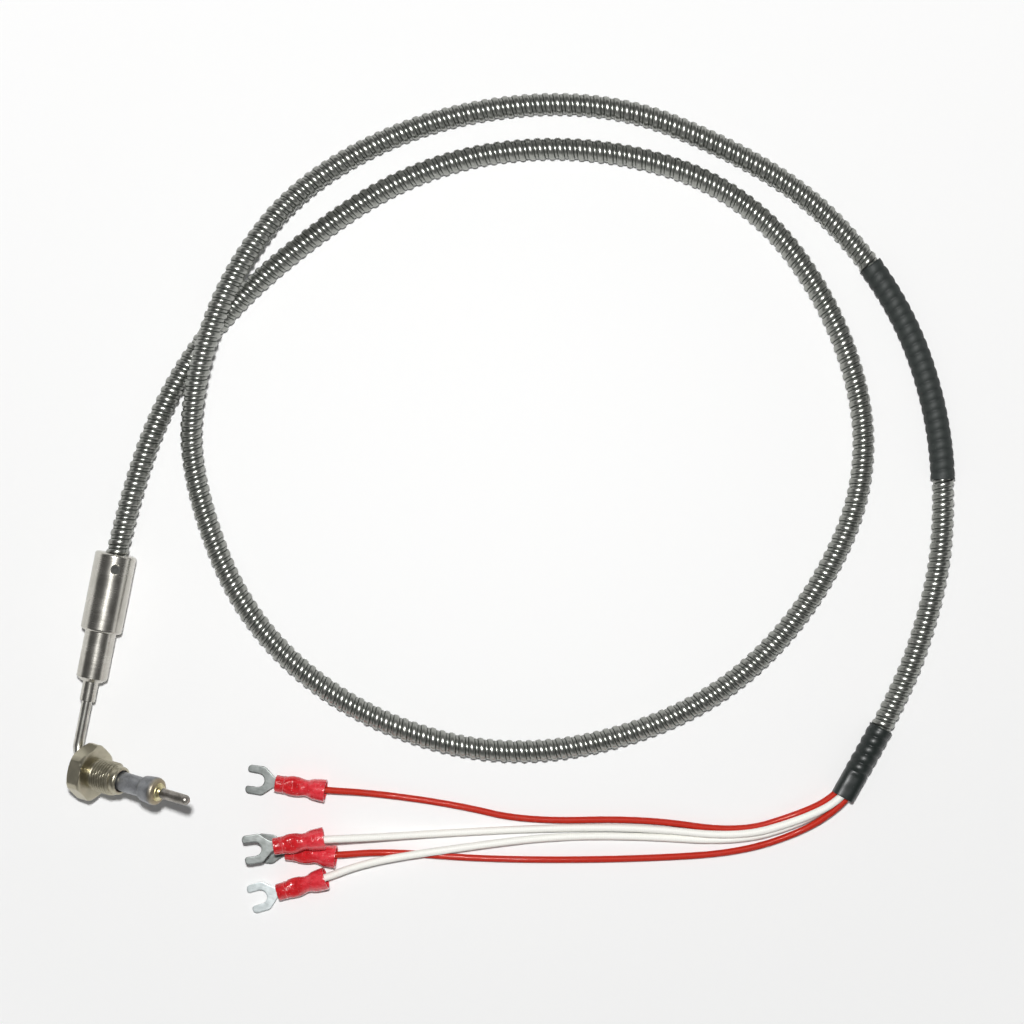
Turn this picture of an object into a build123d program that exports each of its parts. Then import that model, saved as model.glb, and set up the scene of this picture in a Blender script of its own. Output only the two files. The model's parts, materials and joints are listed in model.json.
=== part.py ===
from build123d import *
import os
from math import cos, radians, sin, sqrt, tan

os.makedirs("parts", exist_ok=True)

# Duplex thermocouple probe: a bent metal-sheathed sensor with a captive gland nut, a stepped
# transition fitting, an interlocked armour hose and four leads with fork terminals.
# Millimetres, +Z up. The rigid head stands on z = 0 with the middle of its box over the origin.
# The transition lies along +Y and the tip points along +X, tilted up.

# ---- sheathed cable and its bend ----
sheath_od = 3.175
sheath_wall = 0.3175
tip_cap = 1.0            # thickness of the welded tip
bend_radius = 7.94       # centreline radius of the 90 degree bend
tip_tilt = 27.5          # degrees the sensing leg rises above the bench
tip_reach = 44.6         # from the bend's corner to the end of the tip
sheath_buried = 1.0      # sheath standing into the potting cavity

# ---- sensing elements inside the sheath ----
element_od = 0.4
element_offset = 0.55    # from the sheath's centreline to each element wire
bead_length = 0.6
bead_radius = 0.28
bead_recess = 0.5        # powder between a bead and the welded tip

# ---- gland nut, a bored-through male connector ----
hex_flats = 15.875
hex_length = 4.76
hex_corner_radius = 8.7
hex_face_radius = 7.8
thread_radius = 5.145    # 1/8 inch straight thread, modelled at its major diameter
thread_length = 7.54
thread_chamfer = 0.5
relief_radius = 4.4
relief_length = 0.8
nose_radius = 4.35
nose_length = 1.96
nose_chamfer = 0.6
nut_bore_clearance = 0.3
nut_rest = 3.9           # from the bend's corner to the nut's rear face, nut pushed back
nut_countersink = 0.9

# ---- seat collar brazed to the sensing leg ----
stem_radius = 3.0
stem_rear_margin = 1.5   # straight sheath between the bend and the stem
collar_start = 27.0      # all three are from the bend's corner
collar_front = 32.2
collar_end = 33.3
collar_rear_radius = 3.85
collar_front_radius = 4.3
collar_rear_taper = 0.9
collar_face_radius = 3.1
braze_length = 1.1
braze_radius = 2.7

# ---- stepped transition fitting ----
stub_radius = 2.38
stub_start = 21.0        # from the bend's corner to the stub's open end
stub_length = 6.2        # outside the body
stub_buried = 5.1
body_radius = 4.7625
body_cone_radius = 3.3
body_cone_length = 1.1
body_length = 14.6
cavity_radius = 3.25
spigot_radius = 3.97
spigot_length = 8.0
socket_radius = 6.35
socket_length = 24.4
socket_round = 0.8
web_length = 1.4
web_clearance = 0.04
hose_clearance = 0.025

# ---- grub screw that grips the hose ----
screw_radius = 1.45
screw_from_end = 4.5
screw_rim = 0.2
screw_recess = 0.35      # how far its head sits below the socket's surface
screw_turn = 17.0        # how far round from the top of the socket it stands, in degrees
key_flats = 1.5
key_depth = 1.3

# ---- splices and potting ----
splice_start = 9.5       # from the body's front end
splice_length = 5.0
splice_radius = 0.75
splice_web = 0.2
jog_length = 2.4         # where the element wires spread to the leads' spacing
potting_gap = 1.0        # potting stops short of the spigot's rear end

# ---- armour hose and what is shrunk on it ----
hose_wall = 0.825
hose_self_gap = 0.42     # under the hose where it passes over itself
hose_lift = 0.77         # rise at the two ends of that hump
sleeve_wall = 0.325
boot_start = 12.2        # along the hose's last run, from its last corner
boot_length = 24.6
hose_last_run = 27.0
tail_half_width = 3.6
tail_half_height = 3.1
tail_wall = 0.45
tail_corner = 2.2
tail_clearance = 0.6     # tail starts this far past the end of the hose

# ---- leads ----
red_radius = 0.9
white_radius = 1.1
conductor_radius = 0.45
lead_gap = 0.02          # between neighbouring leads inside the hose, and round them

# ---- fork terminals ----
terminal_length = 25.2
tongue_thickness = 0.8
fork_width = 9.0
slot_radius = 2.15
slot_depth = 5.6         # from the prong tips to the bottom of the slot
prong_shoulder = 6.4
prong_round = 1.2
neck_half_width = 1.5
barrel_start = 8.9
barrel_end = 16.6
barrel_radius = 1.8
sleeve_start = 9.4
sleeve_front_radius = 2.6
crimp_start = 12.6
crimp_end = 17.1
crimp_radius = 2.95
sleeve_neck_radius = 2.4
sleeve_neck_bore = 1.35
funnel_start = 19.8
funnel_full = 21.3
funnel_radius = 3.45
funnel_wall = 0.55
stripped_to = 18.2       # where the insulation stops, from the fork's tip
conductor_to = 13.0

# ---- leads packed in the hose, and the hose round them ----
lead_rise = white_radius + lead_gap    # white leads, above and below the centreline
lead_side = sqrt((red_radius + white_radius + lead_gap)**2 - lead_rise**2)  # red, left and right
hose_bore_radius = lead_side + red_radius + lead_gap
hose_radius = hose_bore_radius + hose_wall

# ---- where the head stands ----
tilt = radians(tip_tilt)
leg = Vector(cos(tilt), 0, sin(tilt))
across = Vector(-sin(tilt), 0, cos(tilt))
sheath_radius = sheath_od / 2
axis_z = socket_radius
tip_span = (tip_reach - sheath_radius) * cos(tilt) + sheath_radius
axis_x = (socket_radius - tip_span) / 2
head_span = stub_start + stub_length + body_cone_length + body_length + socket_length
bend_y = (hex_corner_radius - head_span) / 2
corner = Vector(axis_x, bend_y, axis_z)
body_y = bend_y + stub_start + stub_length
socket_y = body_y + body_cone_length + body_length
socket_end_y = socket_y + socket_length
hose_y = socket_y + spigot_length + web_length
cold_end_y = body_y + stub_buried + sheath_buried
splice_y = body_y + splice_start
splice_end_y = splice_y + splice_length
stem_start = bend_radius + stem_rear_margin
nut_bore_radius = stem_radius + nut_bore_clearance
hose_bore_in_socket = hose_radius + hose_clearance

# The hose's route from the socket, clockwise once round the loop and over its own first
# stretch, then out to the boot. It lies on the bench except at the low hump where it crosses.
low = hose_radius + 0.005
shrunk = hose_radius + sleeve_wall + 0.005
lifted = low + hose_lift
over = low + 2 * hose_radius + hose_self_gap
hose_route = [
    (axis_x, hose_y, axis_z),
    (axis_x, 58, axis_z),
    (-9, 99, low),
    (12, 135, low),
    (52, 176, low),
    (103, 192.3, low),
    (154, 186.5, low),
    (191, 152, low),
    (208.9, 108, low),
    (197, 60, low),
    (168.5, 22.8, low),
    (118, -1.4, low),
    (67, 2.2, low),
    (26, 25, low),
    (0.5, 66, lifted),
    (-3.2, 96, over),
    (2, 131, over),
    (18.5, 164.5, lifted),
    (57, 193, low),
    (106, 206.4, low),
    (151, 197.4, low),
    (180.6, 184.5, shrunk),
    (208.8, 159.1, shrunk),
    (226.7, 126.6, shrunk),
    (234.1, 93.4, shrunk),
    (234.4, 70, shrunk),
    (230.6, 42.5, shrunk),
]
hose_exit = Vector(-0.32, -0.9474, 0).normalized()
last_corner = Vector(*hose_route[-1])
hose_route.append(tuple(last_corner + hose_exit * hose_last_run))
sleeve_first = 21        # the mid sleeve starts half way along the run from this point

# Each lead goes on from the end of the hose, out of the boot's tail and along the bench.
red_low = red_radius + 0.005
white_low = white_radius + 0.005
red_a_out = [
    (220.2, 17.0, 3.76),
    (216.6, 7.1, 3.7),
    (206.5, -0.9, 1.5),
    (189.4, -10, red_low),
    (160, -11.3, red_low),
    (124, -19.4, red_low),
    (102, -18.5, red_low),
    (76, -19.9, red_low),
]
white_a_out = [
    (221.8, 16.45, 4.88),
    (218.4, 6.5, 5.0),
    (207.4, -2.2, 3.5),
    (189.8, -11.3, 2.8),
    (160, -14.1, white_low),
    (129, -20.5, white_low),
    (97, -28.6, white_low),
    (77, -33.4, 4.2),
]
white_b_out = [
    (221.8, 16.45, 2.64),
    (218.4, 6.5, 2.45),
    (208.2, -3.3, 1.5),
    (190.2, -12.9, white_low),
    (158, -17.2, white_low),
    (132, -22.6, white_low),
    (103, -31.9, 3.1),
    (78, -41, 3.1),
]
red_b_out = [
    (223.4, 15.9, 3.76),
    (220.2, 5.9, 3.7),
    (209.9, -5.4, 1.5),
    (190.9, -16.2, red_low),
    (162, -23.7, red_low),
    (133, -29.9, red_low),
    (107, -34.4, red_low),
    (83, -37, red_low),
]

# Fork terminals: wire end of the sleeve, direction from the fork to the wire in plan, and rise.
red_a_end = ((61.0, -21.8, 3.69), 3.1, 3.25)
white_a_end = ((63.6, -35.7, 7.3), 20.0, -3.2)
white_b_end = ((66.4, -48.4, 3.69), 28.0, 3.25)
red_b_end = ((68.2, -41.3, 3.69), 5.5, 3.25)
entry_corner = 23.0      # where each lead starts to droop inside its funnel


def save(shape, name):
    shape.label = name
    export_step(shape, f"parts/{name}.step")
    return shape


def turned(profile):
    """Revolve a closed list of (radius, height) points about Z."""
    points = [(radius, 0, height) for radius, height in profile]
    return revolve(make_face(Polyline(*points, close=True)), Axis.Z)


def along_y(shape, y):
    """Set a piece turned about Z onto the transition's axis, its base at y."""
    return Plane((axis_x, y, axis_z), x_dir=(1, 0, 0), z_dir=(0, 1, 0)).location * shape


def on_leg(shape, distance):
    """Set a piece turned about Z onto the sensing leg, its base this far from the corner."""
    return Plane(corner + leg * distance, x_dir=across, z_dir=leg).location * shape


def corner_radii(points):
    """Radius of the arc at each inner point: 0.45 of the shorter run over tan(half the turn)."""
    radii = []
    for before, point, after in zip(points, points[1:], points[2:]):
        first = Vector(*point) - Vector(*before)
        second = Vector(*after) - Vector(*point)
        shorter = min(first.length, second.length)
        radii.append(0.45 * shorter / tan(radians(first.get_angle(second)) / 2))
    return radii


def beside(points, radii, side, rise):
    """The points and radii of a route that stays side and rise off another's centreline.

    side is to the right of travel and rise is up at the start. The frame turns with each
    corner and never twists, so lines stay lines and arcs stay arcs.
    """
    route = [Vector(*point) for point in points]
    heading = (route[1] - route[0]).normalized()
    right = heading.cross(Vector(0, 0, 1)).normalized()
    offset = right * side + right.cross(heading) * rise
    out, out_radii = [route[0] + offset], []
    for i in range(1, len(route) - 1):
        ahead = (route[i + 1] - route[i]).normalized()
        hinge = heading.cross(ahead).normalized()
        inward = hinge.cross(heading)
        depth, level = offset.dot(inward), offset.dot(hinge)
        turned_inward = hinge.cross(ahead)
        middle = (inward + turned_inward) * (depth / (1 + heading.dot(ahead)))
        out.append(route[i] + middle + hinge * level)
        out_radii.append(radii[i - 1] - depth)
        offset = turned_inward * depth + hinge * level
        heading = ahead
    out.append(route[-1] + offset)
    return out, out_radii


def tube(points, radii, outer, inner=0):
    """Sweep a disc, or a ring, along straight runs joined by arcs of the given radii."""
    points = [Vector(*point) for point in points]
    path = FilletPolyline(*points, radius=radii)
    start = Plane(points[0], z_dir=points[1] - points[0])
    section = Circle(outer)
    if inner:
        section -= Circle(inner)
    solid = sweep(start * section, path=path)
    area = 3.141592654 * (outer**2 - inner**2)
    print(f"   length {path.length:.1f}  volume over area x length {solid.volume / area / path.length:.4f}")
    return solid


def terminal_plane(end):
    """Local frame of a terminal: origin at the fork's tips, +X towards the wire, +Z up."""
    (x, y, z), bearing, rise = end
    towards = Vector(
        cos(radians(rise)) * cos(radians(bearing)),
        cos(radians(rise)) * sin(radians(bearing)),
        sin(radians(rise)),
    )
    level = Vector(0, 0, 1).cross(towards).normalized()
    return Plane(Vector(x, y, z) - towards * terminal_length, x_dir=towards, z_dir=towards.cross(level))


# ---- sensing leg ----
def sheath_path(end_margin):
    start = Vector(axis_x, cold_end_y, axis_z)
    return [start, corner, corner + leg * (tip_reach - end_margin)]


def make_sheath():
    outer = tube(sheath_path(sheath_radius), [bend_radius], sheath_radius)
    outer += Pos(*(corner + leg * (tip_reach - sheath_radius))) * Sphere(sheath_radius)
    inner = tube(sheath_path(tip_cap), [bend_radius], sheath_radius - sheath_wall)
    return outer - inner


def element_route(plane_offset, level_offset, side, rise):
    """From the tip to the splice: a wire plane_offset inside the bend and level_offset off it."""
    level = across * level_offset
    tip = corner + leg * (tip_reach - tip_cap - bead_recess - bead_length)
    spread_y = cold_end_y + 0.4
    wire_end = splice_y + (splice_length - splice_web) / 2
    return [
        tip + Vector(0, plane_offset, 0) + level,
        corner + Vector(0, plane_offset, 0) + leg * plane_offset + level,
        Vector(axis_x, spread_y, axis_z) + leg * plane_offset + level,
        Vector(axis_x + side, spread_y + jog_length, axis_z + rise),
        Vector(axis_x + side, wire_end, axis_z + rise),
    ]


def make_element(plane_offset, level_offset, side, rise):
    route = element_route(plane_offset, level_offset, side, rise)
    return tube(route, [bend_radius - plane_offset, 0.8, 0.8], element_od / 2)


def make_bead(sign):
    """Welded junction over the ends of one pair of element wires."""
    height = tip_reach - tip_cap - bead_recess - bead_length
    apart = element_offset * sqrt(2)
    slot = SlotCenterToCenter(apart, 2 * bead_radius, rotation=45)
    # the leg's local x is its upward normal and local y is -Y
    slot = Pos(sign * element_offset / 2, -sign * element_offset / 2) * slot
    return on_leg(extrude(slot, bead_length), height)


def make_powder(wires, beads):
    core = tube(sheath_path(tip_cap), [bend_radius], sheath_radius - sheath_wall)
    for piece in wires + beads:
        core -= piece
    return core


# ---- gland nut and seat collar ----
def make_nut():
    blank = extrude(RegularPolygon(hex_flats / 2, 6, major_radius=False, rotation=30), hex_length)
    slope = (hex_corner_radius - hex_face_radius) * tan(radians(30))
    blank &= turned([
        (0, 0),
        (hex_face_radius, 0),
        (hex_corner_radius, slope),
        (hex_corner_radius, hex_length - slope),
        (hex_face_radius, hex_length),
        (0, hex_length),
    ])
    thread_start = hex_length + relief_length
    thread_end = thread_start + thread_length
    nose_end = thread_end + nose_length
    shank = turned([
        (0, 0),
        (relief_radius, 0),
        (relief_radius, thread_start),
        (thread_radius - thread_chamfer, thread_start),
        (thread_radius, thread_start + thread_chamfer),
        (thread_radius, thread_end - thread_chamfer),
        (thread_radius - thread_chamfer, thread_end),
        (nose_radius, thread_end),
        (nose_radius, nose_end - nose_chamfer),
        (nose_radius - nose_chamfer, nose_end),
        (0, nose_end),
    ])
    bore = turned([
        (0, 0),
        (nut_bore_radius + nut_countersink, 0),
        (nut_bore_radius, nut_countersink),
        (nut_bore_radius, nose_end),
        (0, nose_end),
    ])
    return on_leg(blank + shank - bore, nut_rest)


def make_collar():
    return on_leg(turned([
        (sheath_radius, stem_start),
        (stem_radius, stem_start),
        (stem_radius, collar_start),
        (collar_rear_radius, collar_start + collar_rear_taper),
        (collar_front_radius, collar_front),
        (collar_face_radius, collar_end),
        (sheath_radius, collar_end),
    ]), 0)


def make_braze():
    return on_leg(turned([
        (sheath_radius, collar_end),
        (braze_radius, collar_end),
        ((braze_radius + sheath_radius) / 2, collar_end + braze_length * 0.3),
        (sheath_radius, collar_end + braze_length),
    ]), 0)


# ---- transition fitting ----
def make_stub():
    height = stub_length + stub_buried
    return along_y(turned([
        (sheath_radius, 0),
        (stub_radius, 0),
        (stub_radius, height),
        (sheath_radius, height),
    ]), bend_y + stub_start)


def make_body():
    shoulder = body_cone_length + body_length
    rear = shoulder + spigot_length
    return along_y(turned([
        (stub_radius, 0),
        (body_cone_radius, 0),
        (body_radius, body_cone_length),
        (body_radius, shoulder),
        (spigot_radius, shoulder),
        (spigot_radius, rear),
        (cavity_radius, rear),
        (cavity_radius, stub_buried),
        (stub_radius, stub_buried),
    ]), body_y)


def make_socket():
    seat = spigot_length + web_length
    ring = turned([
        (spigot_radius, 0),
        (socket_radius, 0),
        (socket_radius, socket_length),
        (hose_bore_in_socket, socket_length),
        (hose_bore_in_socket, seat),
        (hose_bore_radius + web_clearance, seat),
        (hose_bore_radius + web_clearance, spigot_length),
        (spigot_radius, spigot_length),
    ])
    rims = ring.edges().filter_by(GeomType.CIRCLE).group_by(SortBy.RADIUS)[-1]
    ring = along_y(fillet(rims, socket_round), socket_y)
    rim_z = socket_radius - hose_bore_in_socket - screw_rim
    rim = Cone(screw_radius, screw_radius + 3 * screw_rim, 3 * screw_rim, align=(Align.CENTER, Align.CENTER, Align.MIN))
    hole = extrude(Circle(screw_radius), socket_radius) + Pos(0, 0, rim_z) * rim
    return ring - screw_plane() * hole


# ---- grub screw ----
def screw_plane():
    outwards = Vector(sin(radians(screw_turn)), 0, cos(radians(screw_turn)))
    foot = Vector(axis_x, socket_end_y - screw_from_end, axis_z) + outwards * hose_bore_in_socket
    return Plane(foot, x_dir=Vector(0, 1, 0), z_dir=outwards)


def make_screw():
    length = socket_radius - hose_bore_in_socket - screw_recess
    screw = extrude(Circle(screw_radius), length)
    key = extrude(RegularPolygon(key_flats / 2, 6, major_radius=False), key_depth)
    return screw_plane() * (screw - Pos(0, 0, length - key_depth) * key)


# ---- splices and potting ----
def make_splice(side, rise):
    half = (splice_length - splice_web) / 2
    barrel = extrude(Circle(splice_radius), splice_length)
    barrel -= extrude(Circle(element_od / 2), half)
    barrel -= Pos(0, 0, half + splice_web) * extrude(Circle(conductor_radius), half)
    # local x is +X and local y is -Z on the transition's axis
    return along_y(Pos(side, -rise, 0) * barrel, splice_y)


def make_potting(pieces):
    height = body_cone_length + body_length + spigot_length - potting_gap - stub_buried
    plug = along_y(extrude(Circle(cavity_radius), height), body_y + stub_buried)
    plug -= along_y(extrude(Circle(sheath_radius), sheath_buried), body_y + stub_buried)
    for piece in pieces:
        plug -= piece
    return plug


# ---- hose, sleeve and boot ----
def make_mid_sleeve():
    first, last = sleeve_first, sleeve_first + 3
    radii = corner_radii(hose_route)
    start = (Vector(*hose_route[first]) + Vector(*hose_route[first + 1])) / 2
    end = (Vector(*hose_route[last - 1]) + Vector(*hose_route[last])) / 2
    points = [start, *hose_route[first + 1:last], end]
    return tube(points, radii[first:last - 1], hose_radius + sleeve_wall, hose_radius)


def make_boot():
    """A round sleeve over the hose's end, then an oval tail round the four leads."""
    outer = hose_radius + sleeve_wall
    step = hose_last_run - boot_start + tail_clearance
    tail = boot_length - step
    shell = extrude(Circle(outer), step) - extrude(Circle(hose_radius), step)
    width, height = 2 * tail_half_width, 2 * tail_half_height
    oval = RectangleRounded(width, height, tail_corner)
    oval -= RectangleRounded(width - 2 * tail_wall, height - 2 * tail_wall, tail_corner - tail_wall)
    shell += Pos(0, 0, step) * extrude(oval, tail)
    start = last_corner + hose_exit * boot_start
    across_exit = hose_exit.cross(Vector(0, 0, 1))
    return Plane(start, x_dir=across_exit, z_dir=hose_exit).location * shell


# ---- leads ----
def lead_route(side, rise, out, end):
    """Centreline points and radii of a whole lead, from its splice to its terminal."""
    inner, inner_radii = beside(hose_route, corner_radii(hose_route), side, rise)
    plane = terminal_plane(end)
    outer = [Vector(*point) for point in out]
    outer.append(plane.origin + plane.x_dir * entry_corner)
    outer.append(plane.origin + plane.x_dir * conductor_to)
    outer_radii = corner_radii([inner[-2], *outer])
    points = [Vector(axis_x + side, splice_end_y, axis_z + rise), *inner[1:-1], *outer]
    return points, inner_radii + outer_radii


def make_lead(side, rise, out, end, radius):
    points, radii = lead_route(side, rise, out, end)
    plane = terminal_plane(end)
    print("   radii", [round(value) for value in radii])
    start = Vector(points[0].X, splice_end_y - (splice_length - splice_web) / 2, points[0].Z)
    conductor = tube([start, *points[1:]], radii, conductor_radius)
    points[-1] = plane.origin + plane.x_dir * stripped_to
    return tube(points, radii, radius, conductor_radius), conductor


# ---- terminals ----
def make_fork(end):
    half = fork_width / 2
    tongue = make_face(Polyline(
        (0, slot_radius + 0.3),
        (prong_round, half),
        (prong_shoulder - 0.8, half),
        (prong_shoulder, half - 0.5),
        (barrel_start - 0.4, neck_half_width),
        (sleeve_start - 0.05, neck_half_width),
        (sleeve_start - 0.05, -neck_half_width),
        (barrel_start - 0.4, -neck_half_width),
        (prong_shoulder, 0.5 - half),
        (prong_shoulder - 0.8, -half),
        (prong_round, -half),
        (0, -slot_radius - 0.3),
        close=True,
    ))
    bottom = slot_depth - slot_radius
    tongue -= Pos(bottom, 0) * Circle(slot_radius)
    tongue -= Pos(bottom / 2 - 1, 0) * Rectangle(bottom + 2, 2 * slot_radius)
    fork = Pos(0, 0, -barrel_radius) * extrude(tongue, tongue_thickness)
    barrel = turned([
        (conductor_radius, barrel_start),
        (barrel_radius, barrel_start),
        (barrel_radius, barrel_end),
        (conductor_radius, barrel_end),
    ])
    return terminal_plane(end).location * (fork + Rot(0, 90, 0) * barrel)


def make_terminal_sleeve(end):
    sleeve = turned([
        (barrel_radius, sleeve_start),
        (sleeve_front_radius, sleeve_start),
        (sleeve_front_radius, crimp_start),
        (crimp_radius, crimp_start + 0.6),
        (crimp_radius, crimp_end),
        (sleeve_neck_radius, crimp_end + 1.0),
        (sleeve_neck_radius, funnel_start),
        (funnel_radius, funnel_full),
        (funnel_radius, terminal_length),
        (funnel_radius - funnel_wall, terminal_length),
        (funnel_radius - funnel_wall, funnel_full + 0.4),
        (sleeve_neck_bore, funnel_start + 0.2),
        (sleeve_neck_bore, crimp_end + 0.6),
        (barrel_radius, barrel_end),
    ])
    return terminal_plane(end).location * (Rot(0, 90, 0) * sleeve)


# ---- the four circuits: name, element place in the bend, lead place in the hose, route ----
circuits = [
    ("red_a", (element_offset, 0), (lead_side, 0), red_a_out, red_a_end, red_radius),
    ("white_a", (0, element_offset), (0, lead_rise), white_a_out, white_a_end, white_radius),
    ("red_b", (-element_offset, 0), (-lead_side, 0), red_b_out, red_b_end, red_radius),
    ("white_b", (0, -element_offset), (0, -lead_rise), white_b_out, white_b_end, white_radius),
]


def main():
    print("sensing leg")
    save(make_sheath(), "mi_sheath")
    wires, splices, leads = [], [], []
    for name, element, lead, out, end, radius in circuits:
        print(name)
        wires.append(save(make_element(*element, *lead), f"element_wire_{name}"))
        splices.append(save(make_splice(*lead), f"splice_{name}"))
        insulation, conductor = make_lead(*lead, out, end, radius)
        leads.append(save(insulation, f"lead_{name}_insulation"))
        leads.append(save(conductor, f"lead_{name}_conductor"))
        save(make_fork(end), f"terminal_{name}_fork")
        save(make_terminal_sleeve(end), f"terminal_{name}_sleeve")
    beads = [save(make_bead(1), "junction_bead_a"), save(make_bead(-1), "junction_bead_b")]
    save(make_powder(wires, beads), "mineral_insulation")
    save(make_nut(), "gland_nut")
    save(make_collar(), "seat_collar")
    save(make_braze(), "braze_ring")
    save(make_stub(), "transition_stub")
    save(make_body(), "transition_body")
    save(make_socket(), "hose_socket")
    save(make_screw(), "grub_screw")
    save(make_potting(wires + splices + leads), "potting")
    print("hose, radii", [round(value) for value in corner_radii(hose_route)])
    save(tube(hose_route, corner_radii(hose_route), hose_radius, hose_bore_radius), "armour_hose")
    save(make_mid_sleeve(), "mid_sleeve")
    save(make_boot(), "end_boot")


main()
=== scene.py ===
import bpy
import json
import numpy as np
from math import cos, pi, radians, sin
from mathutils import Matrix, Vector

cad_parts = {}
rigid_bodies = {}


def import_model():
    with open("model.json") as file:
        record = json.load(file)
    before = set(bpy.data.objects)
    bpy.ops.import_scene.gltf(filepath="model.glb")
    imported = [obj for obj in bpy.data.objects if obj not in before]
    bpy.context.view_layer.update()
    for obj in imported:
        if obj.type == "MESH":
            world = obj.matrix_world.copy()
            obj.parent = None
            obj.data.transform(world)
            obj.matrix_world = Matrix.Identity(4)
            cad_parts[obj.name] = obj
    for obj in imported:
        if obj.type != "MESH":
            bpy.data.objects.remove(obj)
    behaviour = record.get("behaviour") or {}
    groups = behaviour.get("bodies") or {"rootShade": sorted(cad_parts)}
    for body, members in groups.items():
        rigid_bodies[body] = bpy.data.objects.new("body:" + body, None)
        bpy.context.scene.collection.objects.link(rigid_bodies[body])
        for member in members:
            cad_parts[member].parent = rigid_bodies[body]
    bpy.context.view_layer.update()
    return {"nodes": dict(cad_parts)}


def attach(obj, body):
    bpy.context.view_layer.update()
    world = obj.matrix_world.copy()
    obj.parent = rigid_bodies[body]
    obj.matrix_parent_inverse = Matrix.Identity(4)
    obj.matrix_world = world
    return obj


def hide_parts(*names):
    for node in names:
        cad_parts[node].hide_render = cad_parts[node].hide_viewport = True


for leftover in list(bpy.data.objects):
    bpy.data.objects.remove(leftover)

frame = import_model()
cadNodes = frame["nodes"]
scene = bpy.context.scene
print("frame loaded,", len(cadNodes), "nodes")

cameraSet = {"over": (0.10097, 0.0745), "height": 0.65, "lens": 73.1, "sensor": 36, "turned": 11.2}


def makeCamera(s):
    data = bpy.data.cameras.new("camera")
    data.lens, data.sensor_width = s["lens"], s["sensor"]
    camera = bpy.data.objects.new("camera", data)
    camera.location = (*s["over"], s["height"])
    camera.rotation_euler = (0, 0, radians(s["turned"]))
    scene.collection.objects.link(camera)
    scene.camera = camera


makeCamera(cameraSet)
scene.view_settings.view_transform = "Standard"
print("camera placed")


def linked(name, data, body="probe"):
    obj = bpy.data.objects.new(name, data)
    scene.collection.objects.link(obj)
    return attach(obj, body)


# Every pair of a row and a column, as two long lists.
def pairs(rows, columns):
    i, j = np.meshgrid(rows, columns, indexing="ij")
    return i.ravel(), j.ravel()


# The surface's own coordinates: eight numbers a face, u and v of its four corners in turn.
def lay(mesh, corners):
    spread = np.zeros(2 * len(mesh.loops))
    spread[:corners.size] = corners.ravel()
    mesh.uv_layers.new(name="laid").data.foreach_set("uv", spread)


def mark(mesh, title, values):
    layer = mesh.attributes.new(title, "FLOAT", "POINT")
    layer.data.foreach_set("value", values.ravel().astype(np.float32))


# A grid of points n by m becomes a skin: square ij joins points ij, i+1 j, i+1 j+1 and i j+1.
# Closed means that the last column meets the first, looped that the last row meets the first.
def skin(name, grid, body="probe", closed=True, looped=False, ends=True, along=None, marks=None):
    n, m = grid.shape[:2]
    i, j = pairs(np.arange(n if looped else n - 1), np.arange(m if closed else m - 1))
    up, over = (i + 1) % n, (j + 1) % m
    quads = np.stack([i * m + j, up * m + j, up * m + over, i * m + over], 1)
    faces = quads.tolist()
    if ends and closed and not looped:
        faces.append(list(range(m)))
        faces.append(list(range(n * m - 1, n * m - m - 1, -1)))
    mesh = bpy.data.meshes.new(name)
    mesh.from_pydata(grid.reshape(-1, 3), [], faces)
    u = np.arange(n + 1) / n if along is None else np.append(along, 2 * along[-1] - along[-2])
    lay(mesh, np.stack([u[i], j / m, u[i + 1], j / m, u[i + 1], (j + 1) / m, u[i], (j + 1) / m], 1))
    for title, values in (marks or {}).items():
        mark(mesh, title, values)
    mesh.shade_smooth()
    mesh.update()
    return linked(name, mesh, body)


def sharpen(obj, degrees=35):
    obj.data.set_sharp_from_angle(angle=radians(degrees))
    return obj


# A smooth line steered by a list of points, read back as a dense run of points.
def readLine(name, points, fineness=24):
    curve = bpy.data.curves.new(name, "CURVE")
    curve.dimensions = "3D"
    spline = curve.splines.new("NURBS")
    spline.points.add(len(points) - 1)
    spline.points.foreach_set("co", np.c_[np.array(points), np.ones(len(points))].ravel())
    spline.order_u = 3
    spline.use_endpoint_u = True
    spline.resolution_u = fineness
    holder = bpy.data.objects.new(name, curve)
    mesh = bpy.data.meshes.new_from_object(holder)
    line = np.zeros(3 * len(mesh.vertices))
    mesh.vertices.foreach_get("co", line)
    bpy.data.objects.remove(holder)
    bpy.data.curves.remove(curve)
    bpy.data.meshes.remove(mesh)
    return line.reshape(-1, 3)


def unit(v):
    return v / np.linalg.norm(v, axis=-1, keepdims=True)


# The angles of a full turn in equal steps.
def around(steps):
    return np.arange(steps) * 2 * pi / steps


# 0 where the distance is nil or less, 1 from the length on, straight between.
def grow(distance, length):
    return np.clip(distance / length, 0, 1)


# Distance along the line of each of its points.
def lengths(line):
    return np.r_[0, np.cumsum(np.linalg.norm(np.diff(line, axis=0), axis=1))]


# Centre, sideways and upward directions at distances along a line that nowhere runs straight up.
def stations(line, s):
    travelled = lengths(line)
    heading = unit(np.gradient(line, travelled, axis=0))

    def read(v):
        return np.stack([np.interp(s, travelled, v[:, k]) for k in range(3)], -1)

    ahead = unit(read(heading))
    side = unit(np.cross(ahead, (0, 0, 1)))
    return read(line), side, np.cross(side, ahead)


# Centre plus radius times (cosine of the angle sideways plus sine of it upward).
def wrap(line, s, angle, radius):
    centre, side, up = stations(line, s)
    spokes = np.cos(angle)[..., None] * side + np.sin(angle)[..., None] * up
    return centre + radius[..., None] * spokes


# Hoops round an axis: start plus distance ahead, plus radius times (cosine sideways plus sine upward).
def hoops(start, ahead, upward, distance, radius, angle):
    spokes = np.cos(angle)[:, None] * np.cross(ahead, upward) + np.sin(angle)[:, None] * upward
    return start + distance[:, None, None] * ahead + radius[..., None] * spokes


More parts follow.
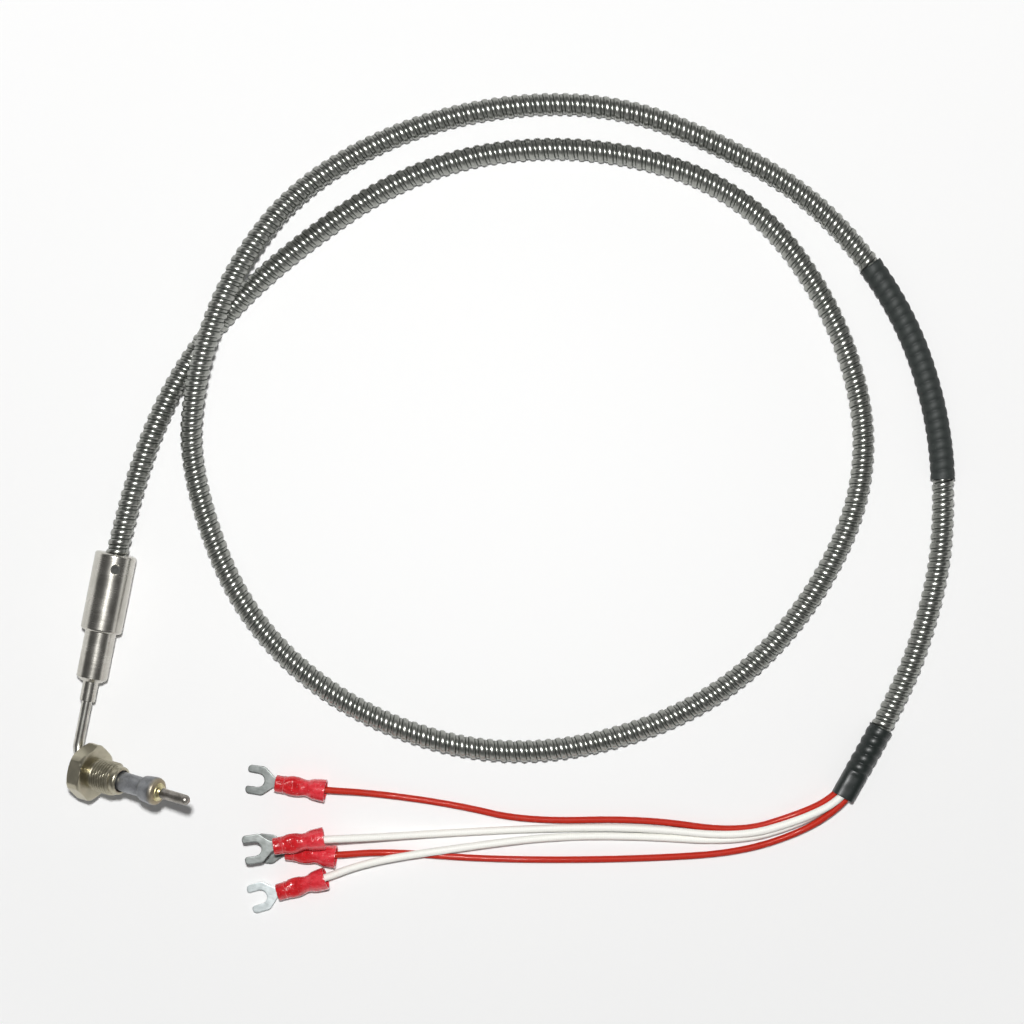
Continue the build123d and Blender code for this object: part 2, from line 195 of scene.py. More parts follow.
# A profile of (distance, radius) carried round an axis. Wobble swells the radius by the sine of
# (rate times distance plus one plus three times the angle).
def lathe(start, ahead, upward, profile, wobble=0, rate=900, steps=64):
    distance, radius = np.array(profile).T
    angle = around(steps)
    ripple = 1 + wobble * np.sin(distance[:, None] * rate + 1 + angle * 3)
    return hoops(start, ahead, upward, distance, radius[:, None] * ripple, angle)


# A profile with each corner swapped for three points on a small curve, so that edges catch the light.
def eased(profile, cut):
    p = np.array(profile, float)

    def towards(v):
        return p[1:-1] + v * np.minimum(cut / np.linalg.norm(v, axis=1), 0.45)[:, None]

    a, b = towards(p[:-2] - p[1:-1]), towards(p[2:] - p[1:-1])
    middle = (a + b) / 4 + p[1:-1] / 2
    inner = np.stack([a, middle, b], 1).reshape(-1, 2)
    return np.vstack([p[:1], inner, p[-1:]])


hoseSet = {
    "radius": 0.003425,
    "pitch": 0.0031,
    "turnSteps": 22,
    "crestDepth": 0.00072,        # from the big crest down to the groove
    "ridgeDepth": 0.00043,        # the small ridge between two crests, below the big one
    "crestShare": 0.64,           # part of a pitch that the big crest takes
    "crestPoints": 8,
    "ridgePoints": 5,
    "ridgeShade": 0.85,           # how much of the crest's polish and unshaded colour the small ridge gets
    "length": 1.1316,
    "exit": (-0.016695, 0.038, 0.00635),
    "points": [
        (-0.016695, 0.023, 0.00635),
        (-0.016695, 0.058, 0.00635),
        (-0.009, 0.099, 0.00343),
        (0.012, 0.135, 0.00343),
        (0.052, 0.176, 0.00343),
        (0.103, 0.1923, 0.00343),
        (0.154, 0.1865, 0.00343),
        (0.191, 0.152, 0.00343),
        (0.2089, 0.108, 0.00343),
        (0.197, 0.060, 0.00343),
        (0.1685, 0.0228, 0.00343),
        (0.118, -0.0014, 0.00343),
        (0.067, 0.0022, 0.00343),
        (0.026, 0.025, 0.00343),
        (0.0005, 0.066, 0.0042),
        (-0.0032, 0.096, 0.0107),
        (0.002, 0.131, 0.0107),
        (0.0185, 0.1645, 0.0042),
        (0.057, 0.193, 0.00343),
        (0.106, 0.2064, 0.00343),
        (0.151, 0.1974, 0.00343),
        (0.1806, 0.1845, 0.003755),
        (0.2088, 0.1591, 0.003755),
        (0.2267, 0.1266, 0.003755),
        (0.2341, 0.0934, 0.003755),
        (0.2344, 0.070, 0.003755),
        (0.2306, 0.0425, 0.003755),
        (0.22196, 0.01692, 0.003755),
    ],
}

hoseLine = readLine("hoseRoute", hoseSet["points"])


# Height of the strip over its groove, across one pitch: a tall rounded crest and a low ridge,
# each the root of one minus the cube of the distance from its middle.
def stripProfile(s):
    share = s["crestShare"]
    wide = share / 2 * (1 - np.cos(np.linspace(0, pi, s["crestPoints"])))
    narrow = share + (1 - share) / 2 * (1 - np.cos(np.linspace(0, pi, s["ridgePoints"])))
    place = np.r_[wide, narrow[1:-1]]

    def dome(middle, half):
        return np.sqrt(np.clip(1 - np.abs((place - middle) / half) ** 3, 0, 1))

    crest, ridge = dome(share / 2, share / 2), dome((1 + share) / 2, (1 - share) / 2)
    depth = s["crestDepth"]
    height = np.maximum(depth * crest, (depth - s["ridgeDepth"]) * ridge)
    # Third row: the crest mark, 1 on the big crest, a little less on the ridge, 0 in the grooves,
    # which sets the painted groove shade.
    return place, height, np.maximum(crest, s["ridgeShade"] * ridge)


# The strip winds round the line: at each step of a turn it moves that part of a pitch along, and
# its profile lies across the pitch, so each turn's last edge is the next turn's first.
def makeHose(s, line):
    place, height, shade = stripProfile(s)
    wide, turn = len(place), s["turnSteps"]
    turns = int(lengths(line)[-1] / s["pitch"]) - 1
    k = np.arange(turns * turn + 1)
    along = (k[:, None] / turn + place) * s["pitch"]
    angle = np.repeat(-k[:, None] * 2 * pi / turn, wide, 1)
    radius = np.broadcast_to(s["radius"] - s["crestDepth"] + height, along.shape)
    points = wrap(line, along, angle, radius).reshape(-1, 3)
    i, j = pairs(k[:-turn - 1], np.arange(wide))
    last = j == wide - 1
    far = np.where(last, (i + turn) * wide, i * wide + j + 1)
    quads = np.stack([i * wide + j, i * wide + wide + j, far + wide, far], 1)
    rim = np.r_[np.arange(turn + 1) * wide, np.arange(wide - 1, 0, -1)]
    lastRim = (len(k) - turn - 1) * wide + rim[::-1]
    used = (len(k) - 1) * wide + 1
    mesh = bpy.data.meshes.new("armourHose")
    mesh.from_pydata(points[:used], [], quads.tolist() + [rim.tolist(), lastRim.tolist()])
    v = np.where(last, 1, (j + 1) / wide)
    u, nextU = i / turn, (i + 1) / turn
    lay(mesh, np.stack([u, j / wide, nextU, j / wide, nextU, v, u, v], 1))
    mark(mesh, "crest", np.broadcast_to(shade, along.shape).ravel()[:used])
    mesh.shade_smooth()
    return linked("armourHose", mesh)


armourHose = makeHose(hoseSet, hoseLine)
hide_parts("armour_hose")
print("hose wound,", round(lengths(hoseLine)[-1], 4), "m,", len(armourHose.data.polygons), "faces")

leadSet = {
    "redRadius": 0.00104,
    "whiteRadius": 0.0012,
    "steps": 20,
    "step": 0.00024,
    "braidDepth": 0.000022,
    "braidPitch": 0.0024,
    "braidEnds": 8,
    "hidden": 0.013,              # how far each lead goes on inside the hose
    "exit": (0.21882, 0.00764, 0.00376),
    "intoHose": (0.32, 0.9474, 0),
    "intoSleeve": (0.0222, 0.0176),          # from the fork's tip, where the lead steers in the sleeve
    "leads": {
        "redA": {
            "radius": "redRadius",
            "node": "lead_red_a",
            "length": 0.185,
            "points": [
                (0.2202, 0.017, 0.00376), (0.2166, 0.0071, 0.0037), (0.2065, -0.0009, 0.0015),
                (0.1894, -0.010, 0.000905), (0.160, -0.0113, 0.000905), (0.124, -0.0194, 0.000905),
                (0.102, -0.0185, 0.000905), (0.076, -0.0199, 0.000905),
            ],
            "terminal": ((0.061, -0.0218, 0.00369), 3.1, 3.25),
        },
        "whiteA": {
            "radius": "whiteRadius",
            "node": "lead_white_a",
            "length": 0.19,
            "points": [
                (0.2218, 0.01645, 0.00488), (0.2184, 0.0065, 0.005), (0.2074, -0.0022, 0.0035),
                (0.1898, -0.0113, 0.0028), (0.160, -0.0141, 0.001105), (0.129, -0.0205, 0.001105),
                (0.097, -0.0286, 0.001105), (0.077, -0.0334, 0.0042),
            ],
            "terminal": ((0.0636, -0.0357, 0.0073), 20.0, -3.2),
        },
        "whiteB": {
            "radius": "whiteRadius",
            "node": "lead_white_b",
            "length": 0.19,
            "points": [
                (0.2218, 0.01645, 0.00264), (0.2184, 0.0065, 0.00245), (0.2082, -0.0033, 0.0015),
                (0.1902, -0.0129, 0.001105), (0.158, -0.0172, 0.001105), (0.132, -0.0226, 0.001105),
                (0.103, -0.0319, 0.0031), (0.078, -0.041, 0.0031),
            ],
            "terminal": ((0.0664, -0.0484, 0.00369), 28.0, 3.25),
        },
        "redB": {
            "radius": "redRadius",
            "node": "lead_red_b",
            "length": 0.19,
            "points": [
                (0.2234, 0.0159, 0.00376), (0.2202, 0.0059, 0.0037), (0.2099, -0.0054, 0.0015),
                (0.1909, -0.0162, 0.000905), (0.162, -0.0237, 0.000905), (0.133, -0.0299, 0.000905),
                (0.107, -0.0344, 0.000905), (0.083, -0.037, 0.000905),
            ],
            "terminal": ((0.0682, -0.0413, 0.00369), 5.5, 3.25),
        },
    },
}
terminalLength = 0.0252


# From the middle of the sleeve's mouth, its bearing and its rise in degrees to the fork's tip and
# the terminal's own directions: along towards the wire, level across it, and up off the tongue.
def terminalPlace(end):
    mouth, bearing, rise = end
    b, r = radians(bearing), radians(rise)
    towards = np.array([cos(r) * cos(b), cos(r) * sin(b), sin(r)])
    level = unit(np.cross((0, 0, 1), towards))
    return np.array(mouth) - towards * terminalLength, towards, level, np.cross(towards, level)


# Two families of strands cross: the radius rises with sin(turns + twist) times sin(turns - twist).
def makeLead(title, s, lead):
    tip, towards = terminalPlace(lead["terminal"])[:2]
    inside = np.array(lead["points"][0]) + np.array(s["intoHose"]) * s["hidden"]
    crimped = [tip + towards * reach for reach in s["intoSleeve"]]
    line = readLine(title + "Route", [inside, *lead["points"], *crimped])
    total = lengths(line)[-1]
    radius = s[lead["radius"]]
    along = np.linspace(0, total, int(total / s["step"]))
    a, t = np.meshgrid(along, around(s["steps"]), indexing="ij")
    twist = a * 2 * pi / s["braidPitch"]
    ends = s["braidEnds"] / 2
    plait = np.sin(ends * t + ends * twist / 2) * np.sin(ends * t - ends * twist / 2)
    grid = wrap(line, a, t, radius + s["braidDepth"] * (plait - 1))
    piece = skin(title, grid, along=along, marks={"plait": plait})
    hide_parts(lead["node"] + "_insulation", lead["node"] + "_conductor")
    "red_braid" if "red" in title else "white_braid"
    return piece, line


leads = {}
for title, lead in leadSet["leads"].items():
    leads[title], lead["line"] = makeLead("lead" + title[0].upper() + title[1:], leadSet, lead)
    print(title, "lead", round(lengths(lead["line"])[-1], 4), "m")


def nearest(line, point):
    return lengths(line)[np.argmin(np.linalg.norm(line - np.array(point), axis=1))]


# Whole number on each crest of the hose, so that what is shrunk on it shows the same winding.
def winding(s, along, angle):
    return along / s["pitch"] + angle / (2 * pi) - s["crestShare"] / 2


midSleeveSet = {
    "startsBetween": slice(21, 23),          # the hose's steering points on both sides of each end
    "stopsBetween": slice(23, 25),
    "radius": 0.00378,
    "wall": 0.0001,
    "ribDepth": 0.00034,
    "ribWidth": 0.9,
    "ribFade": 0.0012,
    "flare": 0.00005,
    "flareReach": 0.0006,
    "rings": 300,
    "steps": 48,
}


# What is shrunk over the hose dips between its crests: one less a power of the winding's cosine.
def dipBetween(hose, along, angle, ribWidth):
    return 1 - np.abs(np.cos(pi * winding(hose, along, angle))) ** ribWidth


# Radius less the dips, flared a little at both cut ends, and back inside as a plain wall.
def makeMidSleeve(s, line, hose):
    points = np.array(hose["points"])
    first, last = (nearest(line, points[s[key]].mean(0)) for key in ("startsBetween", "stopsBetween"))
    a, t = np.meshgrid(np.linspace(first, last, s["rings"]), around(s["steps"]), indexing="ij")
    dip = dipBetween(hose, a, t, s["ribWidth"])
    toEnd = np.minimum(a - first, last - a)
    flare = s["flare"] * np.exp(-toEnd / s["flareReach"])
    outer = s["radius"] - s["ribDepth"] * dip * grow(toEnd, s["ribFade"]) + flare
    inner = np.full(outer.shape, s["radius"] - s["ribDepth"] - s["wall"])
    a = np.vstack([a, a[::-1]])
    grid = wrap(line, a, np.vstack([t, t]), np.vstack([outer, inner]))
    # 1 on the rib crests, 0 in the grooves and on the inner wall: painted sheen and shade.
    ribSheenShade = np.vstack([1 - dip, np.zeros_like(dip)])
    piece = skin("midSleeve", grid, looped=True, along=a[:, 0], marks={"ribSheenShade": ribSheenShade})
    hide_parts("mid_sleeve")
    return sharpen(piece, 50)


midSleeve = makeMidSleeve(midSleeveSet, hoseLine, hoseSet)

bootSet = {
    "fromEnd": 0.0148,            # boot's start, back from the end of the hose
    "pastEnd": 0.0098,            # its mouth, past the end of the hose
    "radius": 0.0038,
    "ribDepth": 0.00042,
    "ribWidth": 0.8,
    "ribFade": 0.0010,
    "easeBack": 0.0006,           # the tail begins this far before the hose's end
    "easeLength": 0.0032,
    "creaseDepth": 0.00002,
    "creaseRate": 1500,
    "lip": 0.0003,                # the wall's thickness at the cut on the hose
    "runOn": (0.006, 0.013),      # the hose's route is carried on this far for the tail
    "tailHalfWidth": 0.00355,
    "tailHalfHeight": 0.0030,
    "tailShape": 3.0,             # 2 is an ellipse, more is squarer
    "tailShade": 0.55,            # how grey the flat tail is painted, between groove shade at 0 and rib crest sheen at 1
    "wall": 0.00045,
    "rings": 150,
    "steps": 64,
}


# Ribbed over the hose, eased into a flattened tail. The tail is a superellipse: one over the n-th
# root of (cosine over half width) to the n plus (sine over half height) to the n.
def makeBoot(s, line, hose):
    heading = unit(line[-1] - line[-4])
    longer = np.vstack([line, *(line[-1] + heading * far for far in s["runOn"])])
    total = lengths(line)[-1]
    first, last = total - s["fromEnd"], total + s["pastEnd"]
    along = np.linspace(first, last, s["rings"])
    a, t = np.meshgrid(along, around(s["steps"]), indexing="ij")
    ease = grow(a - total + s["easeBack"], s["easeLength"])
    ease = ease * ease * (3 - 2 * ease)
    n = s["tailShape"]
    wide, high = np.abs(np.cos(t) / s["tailHalfWidth"]), np.abs(np.sin(t) / s["tailHalfHeight"])
    crease = s["creaseDepth"] * np.sin(a * s["creaseRate"] + 2 * t) * ease
    tail = (wide ** n + high ** n) ** (-1 / n) + crease
    dip = dipBetween(hose, a, t, s["ribWidth"]) * grow(a - first, s["ribFade"])
    outer = (s["radius"] - s["ribDepth"] * dip) * (1 - ease) + tail * ease
    inner = outer[::-1] - s["wall"]
    inner[-1] = outer[0] - s["lip"]
    grid = wrap(longer, np.vstack([a, a[::-1]]), np.vstack([t, t]), np.vstack([outer, inner]))
    # 1 on the rib crests, 0 in the grooves and inside, the tail in between: painted sheen and shade.
    ribSheenShade = np.vstack([(1 - dip) * (1 - ease) + s["tailShade"] * ease, np.zeros_like(dip)])
    piece = skin("endBoot", grid, looped=True, along=np.r_[along, along[::-1]], marks={"ribSheenShade": ribSheenShade})
    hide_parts("end_boot")
    return sharpen(piece, 50)


endBoot = makeBoot(bootSet, hoseLine, hoseSet)
print("sleeves shrunk on")

# The sensing leg rises out of the bench plane from the bend of the tube.
legTilt = radians(27.5)
leg = np.array([cos(legTilt), 0, sin(legTilt)])
across = np.array([-sin(legTilt), 0, cos(legTilt)])
bend = np.array([-0.016695, -0.0293, 0.00635])

nutSet = {
    "rest": 0.0039,               # from the bend's corner to the nut's rear face
    "flats": 0.015875,
    "hexLength": 0.00476,
    "cornerRadius": 0.0087,
    "faceRadius": 0.0078,
    "faceAngle": 30,
    "edgeDepth": 0.00012,
    "edgeReach": 0.00004,
    "relief": [                   # distance past the hexagon, radius
        (0.00002, 0.0072),
        (0.0002, 0.00445),
        (0.0007, 0.0044),
        (0.0008, 0.00446),
    ],
    "reliefLength": 0.0008,
    "threadRadius": 0.005145,
    "threadDepth": 0.00058,
    "threadPitch": 0.00094,
    "threadLength": 0.00754,
    "threadRings": 108,
    "crestFlat": 0.12,            # parts of half a pitch
    "rootFlat": 0.14,
    "fades": (0.0007, 0.0006),    # the thread gets its depth over these lengths at its two ends
    "tapers": ((0.0007, 0.0006), (0.0006, 0.0007)),          # and the ends narrow: how deep, how far
    "nose": [                     # distance past the thread, radius
        (0.00004, 0.00438),
        (0.0003, 0.00435),
        (0.0013, 0.00435),
        (0.0016, 0.00427),
        (0.0018, 0.0041),
        (0.00192, 0.00385),
        (0.00196, 0.0037),
    ],
    "bore": [                     # distance past the thread, radius
        (0.00196, 0.0034),
        (0.0016, 0.0033),
    ],
    "rearBore": [                 # distance from the rear face, radius
        (0.0012, 0.0033),
        (0.0, 0.0042),
    ],
    "steps": 192,
}


# The hexagon is half the flats over the cosine of the angle from the nearest flat, cut down by
# two cones at its faces. The thread is the major radius less a wave of distance over pitch plus
# turns round, faded out at both ends.
def makeNut(s):
    angle = around(s["steps"])
    half = s["flats"] / 2 / np.cos(np.mod(angle, pi / 3) - pi / 6)
    edge, deep = np.linspace(0.00006, 0.0006, 7), s["hexLength"]
    d = np.r_[0, edge, np.linspace(0.0012, 0.0036, 5), deep - edge[::-1], deep]
    fromFace = np.minimum(d, deep - d)[:, None]
    cone = s["faceRadius"] + fromFace / np.tan(radians(s["faceAngle"]))
    worn = s["edgeDepth"] * np.exp(-fromFace / s["edgeReach"])
    hexRows = np.minimum(np.minimum(half, s["cornerRadius"]), cone) - worn

    length = s["threadLength"]
    z = np.linspace(0, length, s["threadRings"])[:, None]
    wave = np.abs(np.mod(z / s["threadPitch"] + angle / (2 * pi), 1) * 2 - 1)
    wave = grow(wave - s["crestFlat"], 1 - s["crestFlat"] - s["rootFlat"])
    fade = grow(z, s["fades"][0]) * grow(length - z, s["fades"][1])
    taper = sum(how * (1 - grow(ends, far)) for ends, (how, far) in zip((z, length - z), s["tapers"]))
    threadRows = s["threadRadius"] - s["threadDepth"] * wave * fade - taper

    start = deep + s["reliefLength"]
    end = start + length
    relief, nose, bore, rear = (np.array(s[key]) for key in ("relief", "nose", "bore", "rearBore"))
    even = [np.repeat(rows[:, 1:], len(angle), 1) for rows in (relief, nose, bore, rear)]
    beyond = [end + nose[:, 0], end + bore[:, 0], rear[:, 0]]
    distance = np.r_[d, deep + relief[:, 0], start + z[:, 0], np.concatenate(beyond)]
    radius = np.vstack([hexRows, even[0], threadRows, *even[1:]])
    # Painted shade mark: 1 in the thread roots and on the bores, 0 on the hexagon, relief and nose.
    rootShade = np.vstack([0 * hexRows, 0 * even[0], wave * fade, 0 * even[1], 1 + 0 * np.vstack(even[2:])])
    grid = hoops(bend, leg, across, s["rest"] + distance, radius, angle)
    piece = skin("glandNut", grid, body="gland_nut", looped=True, along=distance, marks={"rootShade": rootShade})
    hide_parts("gland_nut")
    return sharpen(piece, 28)


glandNut = makeNut(nutSet)

collarSet = {
    "profile": [                  # distance from the bend's corner along the leg, radius
        (0.00944, 0.0016),
        (0.00944, 0.0030),
        (0.0270, 0.0030),
        (0.0277, 0.0038),
        (0.0288, 0.0040),
        (0.0317, 0.0043),
        (0.0328, 0.0040),
        (0.0333, 0.0030),
        (0.0333, 0.0016),
    ],
    "cut": 0.0003,
    "wobble": 0,
}
brazeSet = {
    "profile": [
        (0.0331, 0.0016),
        (0.0331, 0.0029),
        (0.03355, 0.00268),
        (0.03375, 0.00222),
        (0.0340, 0.00192),
        (0.0344, 0.00166),
        (0.0346, 0.00157),
    ],
    "cut": 0.00008,
    "wobble": 0.05,
}


def turnedPiece(name, s, nodeName):
    profile = eased(s["profile"], s["cut"])
    piece = skin(name, lathe(bend, leg, across, profile, s["wobble"]), along=profile[:, 0])
    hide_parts(nodeName)
    return piece


seatCollar = sharpen(turnedPiece("seatCollar", collarSet, "seat_collar"), 30)
brazeFillet = turnedPiece("brazeFillet", brazeSet, "braze_ring")
print("sensing leg dressed")

forkSet = {
    "halfWidth": 0.0045,
    "tipRound": 0.0012,
    "slotRound": 0.0008,
    "shoulder": 0.0020,
    "shoulderCentre": 0.0046,
    "waist": (0.0085, 0.00175),
    "neckHalf": 0.0015,
    "neckStart": 0.0092,
    "neckEnd": 0.0106,
    "slotRadius": 0.00215,
    "slotCentre": 0.00345,
    "slotRun": 0.0018,            # a point half way along the slot's straight side
    "sideRun": 0.0029,            # and along the prong's outer side
    "low": -0.0018,
    "thickness": 0.0008,
    "edge": 0.00014,
    "bow": 0.00016,
    "bowLength": 0.009,
}


def arc(centre, radius, start, stop, count):
    a = np.radians(np.linspace(start, stop, count))
    return np.stack([centre[0] + radius * np.cos(a), centre[1] + radius * np.sin(a)], 1)


# Half the outline is the slot's quarter circle and straight run, the prong's rounded tip, a
# straight side, a rounded shoulder and a slant down to the neck. The other half mirrors it.
def forkOutline(s):
    half, tip, inner = s["halfWidth"], s["tipRound"], s["slotRound"]
    slot, deep = s["slotRadius"], s["slotCentre"]
    shoulder, c = s["shoulder"], s["shoulderCentre"]
    upper = np.vstack([
        arc((deep, 0), slot, 0, 90, 13),
        [(s["slotRun"], slot)],
        arc((inner, slot + inner), inner, 270, 180, 7),
        arc((tip, half - tip), tip, 180, 90, 9),
        [(s["sideRun"], half)],
        arc((c, half - shoulder), shoulder, 90, 48, 9),
        [s["waist"], (s["neckStart"], s["neckHalf"]), (s["neckEnd"], s["neckHalf"])],
    ])
    lower = upper[::-1] * (1, -1)
    return np.vstack([upper, lower[:-1]])


# The outline carried round a plate's edge: inset and level follow a quarter circle at top and
# bottom, and the plate bows by the sine of the distance from the tip.
def makeFork(title, s, place, nodeName):
    origin, towards, level, up = place
    outline = forkOutline(s)
    step = np.roll(outline, -1, 0) - np.roll(outline, 1, 0)
    normal = unit(np.stack([-step[:, 1], step[:, 0]], 1))
    q = np.radians(np.array([0, 22, 45, 68, 90]))
    e, high = s["edge"], s["thickness"]
    inset = np.r_[3 * e, e * (1 - np.sin(q)), e * (1 - np.cos(q)), 3 * e]
    rise = np.r_[0, e * (1 - np.cos(q)), high - e + e * np.sin(q), high]
    flat = outline[None] - inset[:, None, None] * normal[None]
    z = np.repeat(s["low"] + rise[:, None], len(outline), 1)
    bow = s["bow"] * np.sin(pi * grow(flat[..., 0], s["bowLength"]))
    grid = origin + flat[..., :1] * towards + flat[..., 1:] * level + (z + bow)[..., None] * up
    piece = skin(title, grid, along=rise)
    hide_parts(nodeName)
    return sharpen(piece, 60)


sleeveSet = {
    "stations": [
        # from the fork's tip, half width, half height, how much bare barrel shows through
        (0.00940, 0.00180, 0.0016, 1),
        (0.00940, 0.00256, 0.0024, 1),
        (0.00955, 0.00268, 0.0026, 1),
        (0.01205, 0.00270, 0.0026, 1),
        (0.01222, 0.00286, 0.00276, 0),
        (0.01240, 0.00270, 0.0026, 1),
        (0.01300, 0.00276, 0.0025, 1),
        (0.01370, 0.00300, 0.00225, 1),
        (0.01490, 0.00310, 0.00212, 1),
        (0.01610, 0.00306, 0.00216, 1),
        (0.01700, 0.00295, 0.0024, 0.9),
        (0.01800, 0.00266, 0.0025, 0.5),
        (0.01870, 0.00255, 0.0025, 0.25),
        (0.01960, 0.00262, 0.00262, 0.15),
        (0.02050, 0.00295, 0.00295, 0.08),
        (0.02130, 0.00322, 0.00322, 0.03),
        (0.02320, 0.00342, 0.00342, 0),
        (0.02490, 0.00352, 0.00350, 0),
        (0.02515, 0.00350, 0.00348, 0),
        (0.02520, 0.00336, 0.00336, 0),
        (0.02517, 0.00306, 0.00306, 0),
        (0.02500, 0.00292, 0.00292, 0),
        (0.02160, 0.00275, 0.00275, 0),
        (0.01990, 0.00150, 0.0015, 0.1),
        (0.01890, 0.00135, 0.00135, 0.2),
        (0.01840, 0.00100, 0.0010, 0.2),
    ],
    "mouth": 18,                  # the station after which the wall runs back inside
    "dentDepth": 0.00042,
    "dentPlace": 0.0150,
    "dentReach": 0.0011,
    "dentNarrow": 6,
    "rings": 110,
    "steps": 48,
}


# Width and height run through the stations; two shallow dents, each a bell of distance and
# angle, sit in the top and bottom where the tool pressed.
def makeTerminalSleeve(title, s, place, nodeName):
    origin, towards, level, up = place
    table = np.array(s["stations"])
    run = lengths(table[:, :2])
    fine = np.unique(np.r_[run, np.linspace(0, run[-1], s["rings"])])
    x, wide, high, through = (np.interp(fine, run, column) for column in table.T)
    angle = around(s["steps"])
    outside = (fine < run[s["mouth"]])[:, None]
    bell = np.exp(-((x[:, None] - s["dentPlace"]) / s["dentReach"]) ** 2)
    dent = s["dentDepth"] * bell * np.abs(np.sin(angle)) ** s["dentNarrow"] * outside
    w = wide[:, None] * np.cos(angle)
    h = (high[:, None] - dent) * np.sin(angle)
    grid = origin + x[:, None, None] * towards + w[..., None] * -level + h[..., None] * up
    through = np.repeat(through[:, None], s["steps"], 1)
    piece = skin(title, grid, along=fine, marks={"through": through})
    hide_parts(nodeName)
    return sharpen(piece, 40)


for title, lead in leadSet["leads"].items():
    stem = title[0].upper() + title[1:]
    place = terminalPlace(lead["terminal"])
    nodeName = lead["node"].replace("lead", "terminal")
    lead["fork"] = makeFork("fork" + stem, forkSet, place, nodeName + "_fork")
    lead["sleeve"] = makeTerminalSleeve("sleeve" + stem, sleeveSet, place, nodeName + "_sleeve")
print("terminals crimped")

for title, lead in leadSet["leads"].items():
    2 * leadSet[lead["radius"]]


class Wire:                       # a socket of a material's node tree, usable in sums
    def __init__(self, tree, socket=None):
        self.tree, self.socket = tree, socket

    def node(self, kind, settings=None, sockets=None, out=0):
        made = self.tree.nodes.new("ShaderNode" + kind)
        for key, value in (settings or {}).items():
            setattr(made, key, value)
        for key, value in (sockets or {}).items():
            if isinstance(value, Wire):
                self.tree.links.new(value.socket, made.inputs[key])
            else:
                made.inputs[key].default_value = value
        return Wire(self.tree, made.outputs[out])

    def math(self, operation, a, b):
        return self.node("Math", {"operation": operation}, {0: a, 1: b})

    def __add__(self, other):
        return self.math("ADD", self, other)

    def __radd__(self, other):
        return self.math("ADD", other, self)

    def __sub__(self, other):
        return self.math("SUBTRACT", self, other)

    def __rsub__(self, other):
        return self.math("SUBTRACT", other, self)

    def __mul__(self, other):
        return self.math("MULTIPLY", self, other)

    def __rmul__(self, other):
        return self.math("MULTIPLY", other, self)

    def ramp(self, low, high):    # 0 below low, 1 above high, smooth between
        return self.node("MapRange", {"interpolation_type": "SMOOTHSTEP"}, {0: self, 1: low, 2: high})

    def noise(self, vector, scale, detail=2.0, rough=0.5):
        sockets = {"Vector": vector, "Scale": scale, "Detail": detail, "Roughness": rough}
        return self.node("TexNoise", {}, sockets)

    def stretch(self, vector, scale, turn=(0, 0, 0)):
        return self.node("Mapping", {}, {"Vector": vector, "Scale": scale, "Rotation": turn})

    def tint(self, factor, a, b):
        return self.node("Mix", {"data_type": "RGBA"}, {0: factor, 6: a, 7: b}, 2)

    def bump(self, height, distance, strength=1.0):
        return self.node("Bump", {}, {"Height": height, "Distance": distance, "Strength": strength})

    def place(self):
        return self.node("TexCoord", out=3)

    def laid(self):
        return self.node("UVMap", {"uv_map": "laid"})

    def mark(self, name):
        return self.node("Attribute", {"attribute_name": name}, out=2)

    def seen(self):               # 1 on the rays of the eye, of gloss and of glass
        rays = [self.node("LightPath", out=k) for k in (0, 3, 6)]
        return self.math("MINIMUM", rays[0] + rays[1] + rays[2], 1.0)

    def part(self, vector, axis):
        return self.node("SeparateXYZ", {}, {0: vector}, axis)


def colour(r, g, b):
    return (r, g, b, 1)


# Uniform values go straight on the shader's sockets; paint returns what changes over the surface.
def material(name, uniform, paint):
    made = bpy.data.materials.new(name)
    made.use_nodes = True
    tree = made.node_tree
    shader = tree.nodes["Principled BSDF"]
    for key, value in uniform.items():
        shader.inputs[key].default_value = value
    for key, value in paint(Wire(tree)).items():
        tree.links.new(value.socket, shader.inputs[key])
    return made


steelSet = {
    "light": colour(0.62, 0.60, 0.55),
    "dark": colour(0.48, 0.465, 0.42),
    "stain": colour(0.30, 0.28, 0.25),
    "rough": 0.17,
    "ringScale": (90, 5200, 90),  # the fitting is turned about y
    "ringDepth": 0.00003,
}


# Lathe rings: noise that changes fast along the axis and slowly round it, over soft smudges.
def paintSteel(w):
    here = w.place()
    rings = w.noise(w.stretch(here, steelSet["ringScale"]), 1.0, 3.0, 0.6)
    smudge = w.noise(here, 160, 3.0, 0.6)
    spots = w.noise(here, 900, 2.0).ramp(0.62, 0.72)
    tone = (smudge * 0.7 + rings * 0.3).ramp(0.3, 0.72)
    clean = w.tint(tone, steelSet["dark"], steelSet["light"])
    return {
        "Base Color": w.tint(spots * 0.35, clean, steelSet["stain"]),
        "Roughness": steelSet["rough"] + rings * 0.08 + smudge * 0.10,
        "Normal": w.bump(rings, steelSet["ringDepth"], 0.2),
    }


socketSteel = material("socketSteel", {"Metallic": 1.0}, paintSteel)

legSet = {
    "nutLight": colour(0.50, 0.465, 0.355),
    "nutDark": colour(0.37, 0.345, 0.265),
    # Painted shade: the dark colour laid in the thread roots and bores.
    "nutRootShade": colour(0.12, 0.11, 0.09),
    "collarLight": colour(0.36, 0.37, 0.385),
    "collarDark": colour(0.20, 0.205, 0.215),
    "straw": colour(0.42, 0.34, 0.20),
    "nutRough": 0.27,
    "collarRough": 0.40,
    "strawFrom": 0.0312,          # distances along the leg between which the straw colour comes
    "strawTo": 0.0334,
    "brazeLight": colour(0.74, 0.68, 0.42),
    "brazeDark": colour(0.40, 0.33, 0.16),
    "brazeRough": 0.22,
}


